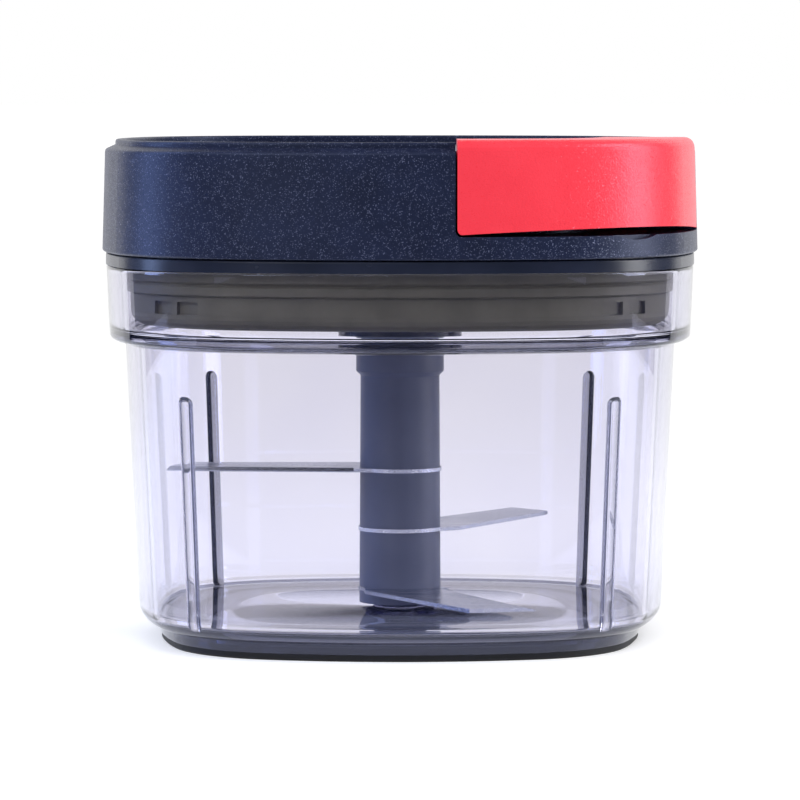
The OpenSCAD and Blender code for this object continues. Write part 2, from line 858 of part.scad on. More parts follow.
module cord_eyelet() {
    tube = eyelet_r + eyelet_t;
    soft = eyelet_rim / 2;
    color([0.72, 0.73, 0.75]) rotate(pull_turn) translate([u_wall, 0, z_cord]) rotate([0, 90, 0])
        rotate_extrude() polygon([
            [eyelet_r, -housing_wall],
            [tube, -housing_wall],
            [tube, 0],
            [tube + eyelet_rim, 0],
            [tube + eyelet_rim, eyelet_rim - soft],
            [tube + eyelet_rim - soft, eyelet_rim],
            [eyelet_r + soft, eyelet_rim],
            [eyelet_r, eyelet_rim - soft]
        ]);
}

module drive_bush() {
    color([0.85, 0.83, 0.76]) rotate_extrude() polygon([
        [shaft_d / 2 + run_gap, z_shaft_boss],
        [bush_r, z_shaft_boss],
        [bush_r, z_plate],
        [bush_r + bush_flange_w, z_plate],
        [bush_r + bush_flange_w, z_cup],
        [shaft_d / 2 + run_gap, z_cup]
    ]);
}

// Reel and ratchet

module reel() {
    r_bore = post_d / 2 + run_gap;
    r_cover = chamber_d / 2 + cover_seat;
    color([0.88, 0.88, 0.86]) {
        rotate_extrude() polygon([
            [r_bore, z_hub],
            [hub_d / 2, z_hub],
            [hub_d / 2, z_web],
            [reel_d / 2, z_web],
            [reel_d / 2, z_drum],
            [drum_d / 2, z_drum],
            [drum_d / 2, z_drum_top],
            [reel_d / 2, z_drum_top],
            [reel_d / 2, z_reel_top],
            [r_cover, z_reel_top],
            [r_cover, z_drum_top],
            [chamber_d / 2, z_drum_top],
            [chamber_d / 2, z_drum],
            [r_bore, z_drum]
        ]);
        for (k = [0:1]) rotate(180 * k) translate([pawl_at, 0, 0])
            post(pawl_pin_d, pawl_z - move_gap, z_web + web_t / 2);
    }
}

module spring_cover() {
    color([0.8, 0.8, 0.78]) difference() {
        post(chamber_d + 2 * (cover_seat - seat_gap), z_drum_top, z_reel_top);
        post(post_d + 4 * move_gap, z_drum_top - 1, z_reel_top + 1);
    }
}

// Flat spiral strip from the post to the wall of its chamber
module power_spring() {
    r_in = post_d / 2 + seat_gap;
    r_out = chamber_d / 2 - move_gap - strip_t;
    steps = 24 * spring_turns;
    turn = function (i, t) polar(r_in + t + (r_out - r_in) * i / steps, 360 * spring_turns * i / steps);
    strip_w = z_drum_top - z_drum - 2 * move_gap;
    color([0.45, 0.48, 0.55]) translate([0, 0, z_drum + move_gap]) linear_extrude(strip_w) polygon(concat(
        [for (i = [0:steps]) turn(i, 0)],
        [for (i = [steps:-1:0]) turn(i, strip_t)]
    ));
}

// Tube of the cord's width along a path of [x, y, z, angle], with the angle of each ring's level axis
module cord_tube(path, sides) {
    last = len(path) - 1;
    top = last * sides;
    points = [for (p = path, j = [0:sides - 1])
        let (t = 360 * j / sides, out = polar(cord_d / 2 * cos(t), p[3]))
        [p[0] + out[0], p[1] + out[1], p[2] + cord_d / 2 * sin(t)]];
    walls = [for (i = [0:last - 1], j = [0:sides - 1])
        let (a = i * sides + j, b = i * sides + (j + 1) % sides)
        each [[a, b, b + sides], [a, b + sides, a + sides]]];
    caps = [for (j = [1:sides - 2]) each [[0, j + 1, j], [top, top + j, top + j + 1]]];
    color([0.93, 0.92, 0.88]) polyhedron(points, concat(walls, caps));
}

// The cord's turns on the drum: the upper end leaves the drum at the exit angle
module cord_winding() {
    per_turn = 24;
    echo(least_gap_between_turns = cord_pitch - cord_d);
    cord_tube([for (i = [0:per_turn * cord_turns])
        let (a = pull_turn + exit_a - 360 * i / per_turn, p = polar(wind_r, a))
        [p[0], p[1], z_cord - cord_pitch * i / per_turn, a]], 6);
}

// The cord's run from the drum, round the bend in the eyelet, to the handle
module pull_cord() {
    leave = polar(wind_r, exit_a);
    bend_r = 2 * cord_d;
    centre = [u_bend + bend_r * tan((90 + exit_a) / 2), -bend_r];
    bend = [for (i = [0:4]) let (a = exit_a + 180 + (-90 - exit_a) * i / 4, p = centre + polar(bend_r, a))
        [p[0], p[1], z_cord, a]];
    rotate(pull_turn) cord_tube(concat(
        [[leave[0], leave[1], z_cord, exit_a + 180]],
        bend,
        [[u_block, 0, z_cord, 90]]
    ), 8);
}

module pawl(k) {
    pivot = [pawl_at, 0];
    ear = pawl_pin_d / 2 + pawl_wall;
    color([0.85, 0.45, 0.2]) rotate(180 * k) translate([0, 0, pawl_z]) linear_extrude(pawl_t) difference() {
        union() {
            translate(pivot) circle(ear);
            polygon([
                pivot + polar(ear, 0),
                polar(tip_r - tip_w / 2, tip_a - back_a),
                polar(tip_r, tip_a - land_a),
                polar(tip_r, tip_a),
                polar(tip_r - tip_w, tip_a),
                pivot + polar(ear, 170)
            ]);
        }
        translate(pivot) circle(d = pawl_pin_d + 2 * run_gap);
    }
}

module pawl_a() {
    pawl(0);
}

module pawl_b() {
    pawl(1);
}

module drive_coupling() {
    tooth_a = 360 / tooth_n;
    tooth_dip = 0.3;
    tooth_foot_a = 0.5;
    face_a = tip_a + tip_gap_a;
    color([0.25, 0.28, 0.38]) difference() {
        union() {
            post(shaft_d, z_shaft, z_cup + bush_flange_t / 2);
            post(cup_d, z_cup, z_cup_top);
        }
        translate([0, 0, z_cup_floor]) linear_extrude(z_cup_top) polygon([
            for (k = [0:tooth_n - 1]) let (a = face_a + k * tooth_a) each [
                polar(tooth_root_d / 2 - tooth_h * tooth_dip, a - tooth_a / 2),
                polar(tooth_root_d / 2, a - tooth_foot_a),
                polar(tooth_root_d / 2 - tooth_h, a + tooth_lean)
            ]
        ]);
        hex_bar(head_af + 2 * move_gap, z_shaft - 1, z_stem_top + head_h + 2 * move_gap);
    }
}

// Handle

module handle_wall_section() {
    top = z_top + handle_rise;
    polygon(concat(
        [
            [lid_d(z_handle), z_handle]
        ],
        arc(d_lid_top - handle_edge_r, top - handle_edge_r, handle_edge_r, 0, 90),
        arc(-handle_depth + edge_r, top - edge_r, edge_r, 90, 180),
        [
            [-handle_depth, top - handle_top_t],
            [d_lid_top - handle_wall, top - handle_top_t],
            [lid_d(z_handle) - handle_wall, z_handle]
        ]
    ));
}

module handle_end_section() {
    top = z_top + handle_rise - handle_top_t / 2;
    polygon([
        [lid_d(z_handle) - handle_wall / 2, z_handle],
        [d_lid_top - handle_wall / 2, top],
        [-handle_depth, top],
        [-handle_depth, z_handle]
    ]);
}

module knot_block() {
    top = z_top + handle_rise - handle_top_t / 2;
    rotate(pull_turn) translate([u_block, -block_w / 2, z_block])
        cube([diagonal(-handle_wall / 2 + d_lid_top) - u_block, block_w, top - z_block]);
}

module pull_handle() {
    end_u = (handle_start + lid_w / 2) / sqrt(2) - handle_start * sqrt(2);
    arch_r = (end_u * end_u + arch_rise * arch_rise) / (2 * arch_rise);
    color([0.95, 0.24, 0.29]) difference() {
        union() {
            intersection() {
                around() handle_wall_section();
                corner_zone(handle_start, z_handle);
            }
            intersection() {
                around() handle_end_section();
                difference() {
                    corner_zone(handle_start, z_handle);
                    corner_zone(handle_start + handle_top_t, z_lid);
                }
            }
            knot_block();
        }
        pull_bar(2 * arch_r, 0, 2 * lid_w, z_handle + arch_rise - arch_r);
        rotate(pull_turn) translate([u_knot, 0, 0])
            post(knot_d + 2 * knot_gap, z_handle, z_cord + knot_d / 2 + knot_gap);
        pull_bar(cord_d + 2 * knot_gap, u_block - 1, u_knot, z_cord);
    }
}

module handle_plug() {
    color([0.8, 0.2, 0.25]) rotate(pull_turn) translate([u_knot, 0, 0])
        post(knot_d + 2 * knot_gap - 2 * seat_gap, z_block, z_block + plug_t);
}

module cord_knot() {
    color([0.93, 0.92, 0.88]) {
        rotate(pull_turn) translate([u_knot, 0, z_cord]) sphere(d = knot_d);
        pull_bar(cord_d, u_block, u_knot, z_cord);
    }
}

bowl();
anti_slip_ring();
pivot_pin();
stem_top();
stem_spacer_upper();
stem_spacer_lower();
stem_foot();
stem_core();
pivot_bush();
blade_upper();
blade_middle();
blade_lower();
lid_housing();
lower_cover();
seal_ring();
cover_screws();
cord_eyelet();
drive_bush();
reel_screw();
reel_washer();
power_spring();
pull_cord();
reel();
spring_cover();
cord_winding();
pawl_a();
pawl_b();
drive_coupling();
pull_handle();
handle_plug();
cord_knot();
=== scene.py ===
"""Looks of a pull-string food chopper: a clear bowl with a three-blade stem under a dark lid
that holds a cord reel and a red corner handle. Lengths are in metres."""

import math

import bmesh
import bpy
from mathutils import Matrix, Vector


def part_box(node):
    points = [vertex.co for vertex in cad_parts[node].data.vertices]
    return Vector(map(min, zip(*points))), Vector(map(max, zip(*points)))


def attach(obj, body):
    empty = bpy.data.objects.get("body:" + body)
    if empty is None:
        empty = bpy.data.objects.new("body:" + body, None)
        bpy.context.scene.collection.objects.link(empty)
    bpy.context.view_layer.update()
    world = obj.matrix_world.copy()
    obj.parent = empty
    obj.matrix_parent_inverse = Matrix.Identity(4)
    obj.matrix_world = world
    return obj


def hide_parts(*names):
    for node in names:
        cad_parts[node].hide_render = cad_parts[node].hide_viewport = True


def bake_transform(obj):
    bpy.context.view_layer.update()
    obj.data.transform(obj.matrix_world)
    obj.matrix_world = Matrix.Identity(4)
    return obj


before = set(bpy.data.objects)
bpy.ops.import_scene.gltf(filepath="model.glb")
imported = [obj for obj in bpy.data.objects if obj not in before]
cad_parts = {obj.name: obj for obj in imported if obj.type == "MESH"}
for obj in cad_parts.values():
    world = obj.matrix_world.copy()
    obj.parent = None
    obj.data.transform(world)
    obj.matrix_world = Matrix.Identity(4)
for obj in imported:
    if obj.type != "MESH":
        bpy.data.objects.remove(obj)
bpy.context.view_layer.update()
MM = 0.001

# Camera, from the photograph: about a metre in front, a little above the lid
CAMERA_AT = (0, -1000 * MM, 117.5 * MM)
CAMERA_PITCH = math.radians(3.88)
IMAGE_PX = 800
FOCAL_PX = 4730
SENSOR_MM = 36

# Plan outline: four side arcs and four corner arcs, as the part's source has it
LID_W = 125.4 * MM
OUTLINE_UNIT = 2.8 * MM
CORNER_C = 7 * OUTLINE_UNIT
CORNER_R = LID_W / 2 - 8 * OUTLINE_UNIT
SIDE_C = -17 * OUTLINE_UNIT
SIDE_R = LID_W / 2 + 17 * OUTLINE_UNIT
SEAM_A = math.atan2(7, 24)

# Bowl: setbacks from the lid's outline, and heights taken from the frame
BOWL_LOW, BOWL_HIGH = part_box("bowl")
WALL = 2 * MM
D_COLLAR = -0.8 * MM
D_COLLAR_LOW = D_COLLAR - 0.6 * MM
D_BODY = D_COLLAR_LOW - 3.3 * MM
D_LOW = D_BODY - 2.6 * MM
D_FOOT = D_LOW - 4.6 * MM
FOOT_T = 10 * MM
FOOT_H = 2.3 * MM
FLOOR_T = 2.4 * MM
COLLAR_H = 15.7 * MM
BOTTOM_R = 4.4 * MM
INNER_R = 1 * MM
STEP_R = 1.2 * MM
STEP_FILLET = 0.4 * MM
RIM_R = 0.6 * MM
FOOT_CHAMFER = 0.3 * MM
FOOT_FILLET = 0.2 * MM
Z_FOOT = BOWL_LOW.z
Z_RIM = BOWL_HIGH.z
Z_UNDER = Z_FOOT + FOOT_H
Z_FLOOR = Z_UNDER + FLOOR_T
Z_LOW = Z_UNDER + BOTTOM_R
Z_STEP = Z_RIM - COLLAR_H
RIB_R = 1.55 * MM
RIB_TOP = Z_FLOOR + 47.3 * MM
GROOVE_T = 4.1 * MM
GROOVE_H = 1.55 * MM
D_GROOVE = D_FOOT - 2.25 * MM
PAD_R = 5.5 * MM
PAD_EDGE = 0.4 * MM
PAD_TOP = Z_FLOOR + 1 * MM

# Bowl's mesh: steps round the outline, and rows near the ends of flat faces
SIDE_STEPS = 24
CORNER_STEPS = 30
RIB_STEPS = 14
RIB_TOP_STEPS = 10
RIB_ROWS = 8
RIB_MARGIN = 1.02
GUARD = 0.3 * MM
LEDGE_GUARD = 0.2 * MM
WALL_GUARD = 1 * MM
D_FLAT = -26 * MM
HUB_R = 1 * MM
BOWL_SHARP_A = math.radians(50)

# Painted shade in the clear plastic, for the dark lines that refraction shows and partly for the
# long
# way through it: depth values, and the angles in degrees where a rounding's shaded part ends and
# its clear part starts
SHADE_FOOT = 0.85
SHADE_STEP = 0.9
SHADE_FILLET = 0.5
SHADE_FLANK = 0.9
SHADE_BACK_RIB = 0.75
SHADE_PAD = 1
BOTTOM_SHADED, BOTTOM_CLEAR = -35, -28
LIP_SHADED, LIP_CLEAR = -62, -54

# Cord: the part's own route, along the diagonal that the handle is pulled
CORD_R = 0.8 * MM
CORD_PITCH = 2.05 * MM
CORD_TURNS = 4
WIND_R = 19 * MM
Z_CORD = 97.75 * MM
PULL_A = math.radians(-45)
U_BEND = 46.52 * MM
BEND_R = 4 * CORD_R
U_EYELET = 47.62 * MM
U_BLOCK = 49.02 * MM
U_KNOT = 60.92 * MM
KNOT_R = 2.6 * MM
KNOT_RISE = 1.6
EXIT_A = -math.acos(WIND_R / U_BEND)
CORD_SIDES = 12
TURN_STEPS = 60
DRUM_STEPS = 30
BEND_STEPS = 10
DRAW_STEPS = 120
LEAD_STEPS = 12
KNOT_STEPS = 90


# Meshes


def arc(x, y, r, start, end, steps):
    """Points of an arc in a section, with angles in degrees."""
    angles = [math.radians(start + (end - start) * i / steps) for i in range(steps + 1)]
    return [(x + r * math.cos(a), y + r * math.sin(a)) for a in angles]


def line(a, b, steps):
    """Points from a towards b, without b."""
    return [tuple(p + (q - p) * i / steps for p, q in zip(a, b)) for i in range(steps)]


def straight(a, b):
    """Points close to the ends of a straight piece between roundings, which keep its smooth
    shading flat."""
    near = GUARD / math.dist(a, b)
    return [tuple(p + (q - p) * f for p, q in zip(a, b)) for f in (near, 1 - near)]


def outline_stations():
    """Stations round the outline, close together at the ribs: (centre x, centre y, arc radius,
    angle, angle from the corner's diagonal)."""
    fractions = [i / CORNER_STEPS for i in range(CORNER_STEPS)]
    half = math.pi / 4 - SEAM_A
    spread = RIB_R / (CORNER_R + D_LOW - WALL) / half / 2
    for i in range(RIB_STEPS + 1):
        fractions.append(0.5 + spread * RIB_MARGIN * math.sin(math.pi * (i / RIB_STEPS - 0.5)))
    stations = []
    for k in range(4):
        turn = k * math.pi / 2
        for i in range(SIDE_STEPS):
            a = turn - SEAM_A + 2 * SEAM_A * i / SIDE_STEPS
            stations.append((SIDE_C * math.cos(turn), SIDE_C * math.sin(turn), SIDE_R, a, None))
        cx = CORNER_C * (math.cos(turn) - math.sin(turn))
        cy = CORNER_C * (math.sin(turn) + math.cos(turn))
        for f in sorted(set(fractions)):
            off = (2 * f - 1) * half
            stations.append((cx, cy, CORNER_R, turn + math.pi / 4 + off, off))
    return stations


def ring_points(stations, setback, z):
    """One row of a sweep: the outline set off by a distance, at a height."""
    return [
        (cx + (r + setback) * math.cos(a), cy + (r + setback) * math.sin(a), z)
        for cx, cy, r, a, _ in stations
    ]


def circle_points(stations, radius, z):
    """One row of a floor's middle: a circle with the outline's stations."""
    rows = []
    for x, y, _ in ring_points(stations, 0, z):
        reach = math.hypot(x, y)
        rows.append((x / reach * radius, y / reach * radius, z))
    return rows


def mesh_object(name, rows, closed=False):
    """A smooth skin over rows of equal length, each joined round and to the next."""
    bm = bmesh.new()
    made = [[bm.verts.new(p) for p in row] for row in rows]
    pairs = list(zip(made, made[1:])) + ([(made[-1], made[0])] if closed else [])
    for low, high in pairs:
        for i in range(len(low)):
            j = (i + 1) % len(low)
            bm.faces.new((low[i], low[j], high[j], high[i]))
    if not closed:
        bm.faces.new(made[0][::-1])
        bm.faces.new(made[-1])
    bmesh.ops.recalc_face_normals(bm, faces=bm.faces)
    for face in bm.faces:
        face.smooth = True
    mesh = bpy.data.meshes.new(name)
    bm.to_mesh(mesh)
    bm.free()
    made_object = bpy.data.objects.new(name, mesh)
    bpy.context.collection.objects.link(made_object)
    return made_object


def rib_bulge(station, z):
    """How far an inner rib stands out of the wall at a station and a height, and how steep it is
    there."""
    off = station[4]
    if off is None:
        return 0, 0
    across = off * (CORNER_R + D_LOW - WALL)
    above = max(0, z - (RIB_TOP - RIB_R))
    left = RIB_R**2 - across**2 - above**2
    return (math.sqrt(left), math.hypot(across, above) / RIB_R) if left > 0 else (0, 0)


def rib_shade(station, bulge, steep):
    """Painted shade value at a rib, for the dark lines that refraction draws there: a front rib's
    flanks, and all of a back rib.
    """
    return SHADE_BACK_RIB if bulge and station[1] > 0 else SHADE_FLANK * steep**2


def wall_setback(z):
    """Setback of the bowl's drafted inner wall at a height."""
    return D_LOW - WALL + (D_BODY - D_LOW) * (z - Z_LOW) / (Z_STEP - Z_LOW)


def clear_bowl():
    """The moulded bowl: one closed skin with a stepped collar, four inner ribs, a floor and a foot.
    Its depth attribute darkens the tint as painted shade, and only partly for a long way through
    the plastic: it grows to 1 at the foot and its edge, the step under the collar, the front ribs'
    flanks, the back ribs and the pin's pad, where it stands for refraction's dark lines and shade."""
    stations = outline_stations()
    foot = (
        [(D_FOOT - FOOT_T, Z_UNDER), (D_FOOT - FOOT_T, Z_FOOT)]
        + [(D_GROOVE - GROOVE_T, Z_FOOT), (D_GROOVE - GROOVE_T, Z_FOOT + GROOVE_H)]
        + [(D_GROOVE, Z_FOOT + GROOVE_H), (D_GROOVE, Z_FOOT)]
        + [(D_FOOT - FOOT_CHAMFER, Z_FOOT), (D_FOOT, Z_FOOT + FOOT_CHAMFER)]
        + arc(D_FOOT + FOOT_FILLET, Z_UNDER - FOOT_FILLET, FOOT_FILLET, 180, 90, 3)[:-1]
    )
    edge = arc(D_LOW - BOTTOM_R, Z_LOW, BOTTOM_R, -90, BOTTOM_SHADED, 8)
    bottom = arc(D_LOW - BOTTOM_R, Z_LOW, BOTTOM_R, BOTTOM_CLEAR, 0, 4)
    wall = straight((D_LOW, Z_LOW), (D_BODY, Z_STEP - STEP_FILLET))
    fillet = arc(D_BODY + STEP_FILLET, Z_STEP - STEP_FILLET, STEP_FILLET, 180, 90, 4)
    under = straight((D_BODY + STEP_FILLET, Z_STEP), (D_COLLAR_LOW - STEP_R, Z_STEP))
    lip = arc(D_COLLAR_LOW - STEP_R, Z_STEP + STEP_R, STEP_R, -90, LIP_SHADED, 4)
    collar = (
        arc(D_COLLAR_LOW - STEP_R, Z_STEP + STEP_R, STEP_R, LIP_CLEAR, 0, 6)
        + straight((D_COLLAR_LOW, Z_STEP + STEP_R), (D_COLLAR, Z_RIM - RIM_R))
        + arc(D_COLLAR - RIM_R, Z_RIM - RIM_R, RIM_R, 0, 90, 6)
        + arc(D_COLLAR - WALL + RIM_R, Z_RIM - RIM_R, RIM_R, 90, 180, 6)
        + straight((D_COLLAR - WALL, Z_RIM - RIM_R), (D_COLLAR_LOW - WALL, Z_STEP + WALL + STEP_R))
        + arc(D_COLLAR_LOW - WALL - STEP_R, Z_STEP + WALL + STEP_R, STEP_R, 0, -90, 6)
        + straight(
            (D_COLLAR_LOW - WALL - STEP_R, Z_STEP + WALL), (D_BODY - WALL + RIM_R, Z_STEP + WALL)
        )
    )
    ledge = arc(D_BODY - WALL + RIM_R, Z_STEP + WALL - RIM_R, RIM_R, 90, 180, 5)
    rows = [circle_points(stations, HUB_R, Z_UNDER), ring_points(stations, D_FLAT, Z_UNDER)]
    shade_depths = [[0] * len(stations)] * 2
    # Painted shade for each section, as depth values that darken the clear plastic's tint
    sections = (
        (foot, SHADE_FOOT), (edge, SHADE_FOOT), (bottom, 0), (wall, 0), (fillet, SHADE_FILLET),
        (under, 0), (lip, SHADE_STEP), (collar, 0), (ledge, SHADE_STEP),
    )
    for section, depth in sections:
        for d, z in section:
            rows.append(ring_points(stations, d, z))
            shade_depths.append([depth] * len(stations))
    # Inner wall, with the ribs: rows are closer together at the ribs' rounded tops
    tops = [
        RIB_TOP - RIB_R + RIB_R * math.sin(math.radians(90 * i / RIB_TOP_STEPS))
        for i in range(RIB_TOP_STEPS, -1, -1)
    ]
    heights = [Z_STEP + WALL - RIM_R - LEDGE_GUARD, Z_STEP - WALL_GUARD, RIB_TOP + WALL_GUARD]
    heights += tops
    heights += [z for _, z in line((0, tops[-1]), (0, Z_FLOOR + INNER_R), RIB_ROWS)][1:]
    heights.append(Z_FLOOR + INNER_R + GUARD)
    inside = [(wall_setback(z), z) for z in heights]
    inside += arc(D_LOW - WALL - INNER_R, Z_FLOOR + INNER_R, INNER_R, 0, -90, 10)
    for d, z in inside:
        bulges = [rib_bulge(s, z) for s in stations]
        rows.append([
            ring_points([s], min(d, wall_setback(z) - bulge), z)[0]
            for s, (bulge, _) in zip(stations, bulges)
        ])
        shade_depths.append([rib_shade(s, bulge, steep) for s, (bulge, steep) in zip(stations, bulges)])
    # Floor, and the pad that holds the pin
    rows.append(ring_points(stations, D_LOW - WALL - INNER_R - GUARD, Z_FLOOR))
    rows.append(ring_points(stations, D_FLAT, Z_FLOOR))
    pad = [(PAD_R + PAD_EDGE, Z_FLOOR), (PAD_R, Z_FLOOR + PAD_EDGE)]
    pad += [(PAD_R, PAD_TOP), (HUB_R, PAD_TOP)]
    rows += [circle_points(stations, radius, z) for radius, z in pad]
    # The pin's pad gets full painted shade, for the shade under the stem
    shade_depths += [[0] * len(stations)] * 3 + [[SHADE_PAD] * len(stations)] * 3
    made = mesh_object("bowl_clear", rows)
    depth = made.data.attributes.new("depth", "FLOAT", "POINT")
    depth.data.foreach_set("value", [value for row in shade_depths for value in row])
    return made


def pulled(u, v, z):
    """A point given along and across the pull direction."""
    return Vector((
        u * math.cos(PULL_A) - v * math.sin(PULL_A),
        u * math.sin(PULL_A) + v * math.cos(PULL_A),
        z,
    ))


def cord_tube(name, path, closed=False):
    """A round cord along a path of points."""
    rows = []
    count = len(path)
    for i, point in enumerate(path):
        before = path[i - 1] if closed or i else point
        after = path[(i + 1) % count] if closed or i < count - 1 else point
        along = (after - before).normalized()
        side = along.cross(Vector((0, 0, 1))).normalized()
        up = side.cross(along)
        turns = [2 * math.pi * k / CORD_SIDES for k in range(CORD_SIDES)]
        rows.append([point + CORD_R * (math.cos(t) * side + math.sin(t) * up) for t in turns])
    return mesh_object(name, rows, closed)


def winding_path():
    """The helix of the cord's turns on the drum, down from where it leaves."""
    steps = TURN_STEPS * CORD_TURNS
    path = []
    for i in range(steps + 1):
        a = EXIT_A - 2 * math.pi * CORD_TURNS * i / steps
        z = Z_CORD - CORD_PITCH * CORD_TURNS * i / steps
        path.append(pulled(WIND_R * math.cos(a), WIND_R * math.sin(a), z))
    return path


def run_path():
    """The cord's run from the drum round the bend to the handle, with close points where it draws
    out."""
    turn = math.pi / 2 + EXIT_A
    centre = (U_BEND + BEND_R * math.tan(turn / 2), -BEND_R)
    bend = [
        (centre[0] + BEND_R * math.cos(a), centre[1] + BEND_R * math.sin(a))
        for a in (math.pi / 2 + turn * (1 - i / BEND_STEPS) for i in range(BEND_STEPS + 1))
    ]
    start = (WIND_R * math.cos(EXIT_A), WIND_R * math.sin(EXIT_A))
    flat = line(start, bend[0], DRUM_STEPS) + bend
    flat += line((U_EYELET, 0), (U_BLOCK, 0), DRAW_STEPS) + [(U_BLOCK, 0)]
    return [pulled(u, v, Z_CORD) for u, v in flat]


def knot_path():
    """An overhand knot, as small as its pocket in the handle."""
    reach = (KNOT_R - CORD_R) / 3
    path = []
    for i in range(KNOT_STEPS):
        t = 2 * math.pi * i / KNOT_STEPS
        path.append(pulled(
            U_KNOT + reach * (math.sin(t) + 2 * math.sin(2 * t)),
            reach * (math.cos(t) - 2 * math.cos(2 * t)),
            Z_CORD - KNOT_RISE * reach * math.sin(3 * t),
        ))
    return path


# Materials

# Colour sockets of a Mix node by number, because its sockets for other kinds have the same names
MIX_A, MIX_B, MIX_OUT = 6, 7, 2
SHARP_A = math.radians(28)


def linear(code):
    """Linear colour of an sRGB hex code."""
    parts = [int(code[i:i + 2], 16) / 255 for i in (1, 3, 5)]
    return tuple(c / 12.92 if c <= 0.04045 else ((c + 0.055) / 1.055) ** 2.4 for c in parts) + (1,)


def add(tree, kind, inputs=None, stops=(), **settings):
    """Adds a node with its settings. Its inputs are values or sockets to link from, and a ramp has
    stops of (position, hex code)."""
    node = tree.nodes.new(kind)
    for name, value in settings.items():
        setattr(node, name, value)
    for element, (position, code) in zip(node.color_ramp.elements if stops else (), stops):
        element.position = position
        element.color = linear(code)
    for name, value in (inputs or {}).items():
        if isinstance(value, bpy.types.NodeSocket):
            tree.links.new(value, node.inputs[name])
        else:
            node.inputs[name].default_value = value
    return node


def surface(name):
    """A new material, its empty node tree and its coordinates in metres."""
    material = bpy.data.materials.new(name)
    material.use_nodes = True
    tree = material.node_tree
    tree.nodes.clear()
    return material, tree, add(tree, "ShaderNodeTexCoord").outputs["Object"]


def clear_styrene():
    """Clear SAN from a polished tool: sharp and glassy, with slow flow waves and a lilac tint.
    Where the mesh's depth attribute grows the colour turns to slate with a little haze: painted
    shade for the dark lines that refraction shows, and partly the long way through the plastic."""
    material, tree, place = surface("clear_san_polished_moulding")
    waves = add(tree, "ShaderNodeTexNoise", {
        "Vector": place, "Scale": 1 / (25 * MM), "Detail": 1.0,
    }).outputs["Fac"]
    scuffs = add(tree, "ShaderNodeTexNoise", {
        "Vector": place, "Scale": 1 / (3 * MM), "Detail": 3.0,
    }).outputs["Fac"]
    bump = add(tree, "ShaderNodeBump", {"Height": waves, "Strength": 0.015, "Distance": 0.2 * MM})
    pale = add(tree, "ShaderNodeValToRGB", {"Fac": waves}, [(0.3, "#f6f5fd"), (0.7, "#f9f8fe")])
    depth = add(tree, "ShaderNodeAttribute", attribute_name="depth").outputs["Fac"]
    # The slate colour and the lower transmission where the depth attribute is high are painted
    # shade
    tint = add(tree, "ShaderNodeMix", {
        0: depth, MIX_A: pale.outputs["Color"], MIX_B: linear("#3d4158"),
    }, data_type="RGBA")
    rough = add(tree, "ShaderNodeMapRange", {"Value": scuffs, "To Min": 0.0, "To Max": 0.01})
    clear = add(tree, "ShaderNodeMapRange", {"Value": depth, "To Min": 1.0, "To Max": 0.75})
    shader = add(tree, "ShaderNodeBsdfPrincipled", {
        "Base Color": tint.outputs[MIX_OUT], "Roughness": rough.outputs["Result"], "IOR": 1.57,
        "Transmission Weight": clear.outputs["Result"], "Specular Tint": linear("#c2caf2"),
        "Normal": bump.outputs["Normal"],
    })
    inside = add(tree, "ShaderNodeVolumeAbsorption", {"Color": linear("#9c9dcc"), "Density": 70.0})
    add(tree, "ShaderNodeOutputMaterial", {
        "Surface": shader.outputs[0], "Volume": inside.outputs[0],
    })
    return material


def pearl_plastic(name, body, dark, fleck, share, depth, rough, grain):
    """Moulded ABS with fine pearl flakes under a spark-eroded skin: satin and even from afar, and
    in the highlights each flake and grain catches the light at its own angle and sparkles. Real
    flakes are about 0.1 mm; they are drawn as 0.17 mm so that they show."""
    material, tree, place = surface(name)
    cells = add(tree, "ShaderNodeTexVoronoi", {"Vector": place, "Scale": 1 / (0.17 * MM)})
    pick = add(tree, "ShaderNodeSeparateColor", {"Color": cells.outputs["Color"]}).outputs
    flake = add(tree, "ShaderNodeMath", {
        0: pick[0], 1: 1 - share,
    }, operation="GREATER_THAN").outputs[0]
    cloud = add(tree, "ShaderNodeTexNoise", {
        "Vector": place, "Scale": 1 / (9 * MM), "Detail": 4.0,
    }).outputs["Fac"]
    ground = add(tree, "ShaderNodeValToRGB", {"Fac": cloud}, [(0.35, dark), (0.65, body)])
    glint = add(tree, "ShaderNodeMath", {0: flake, 1: pick[1]}, operation="MULTIPLY")
    shown = add(tree, "ShaderNodeMapRange", {"Value": glint.outputs[0], "To Max": depth})
    colour = add(tree, "ShaderNodeMix", {
        0: shown.outputs["Result"], MIX_A: ground.outputs["Color"], MIX_B: linear(fleck),
    }, data_type="RGBA")
    gloss = add(tree, "ShaderNodeMapRange", {
        "Value": flake, "To Min": rough, "To Max": rough - 0.1,
    })
    lean = add(tree, "ShaderNodeVectorMath", {
        0: cells.outputs["Color"], 1: (0.5, 0.5, 0.5),
    }, operation="SUBTRACT")
    amount = add(tree, "ShaderNodeMapRange", {"Value": flake, "To Min": 0.12, "To Max": 0.5})
    tilted = add(tree, "ShaderNodeVectorMath", {
        0: lean.outputs[0], "Scale": amount.outputs["Result"],
    }, operation="SCALE")
    skin = add(tree, "ShaderNodeTexNoise", {
        "Vector": place, "Scale": 1 / (0.45 * MM), "Detail": 2.0,
    }).outputs["Fac"]
    bump = add(tree, "ShaderNodeBump", {"Height": skin, "Strength": grain, "Distance": 0.05 * MM})
    turned = add(tree, "ShaderNodeVectorMath", {
        0: bump.outputs["Normal"], 1: tilted.outputs[0],
    }, operation="ADD")
    normal = add(tree, "ShaderNodeVectorMath", {0: turned.outputs[0]}, operation="NORMALIZE")
    shader = add(tree, "ShaderNodeBsdfPrincipled", {
        "Base Color": colour.outputs[MIX_OUT], "Roughness": gloss.outputs["Result"], "IOR": 1.5,
        "Specular Tint": linear("#c8d6ff"), "Normal": normal.outputs[0],
    })
    add(tree, "ShaderNodeOutputMaterial", {"Surface": shader.outputs[0]})
    return material


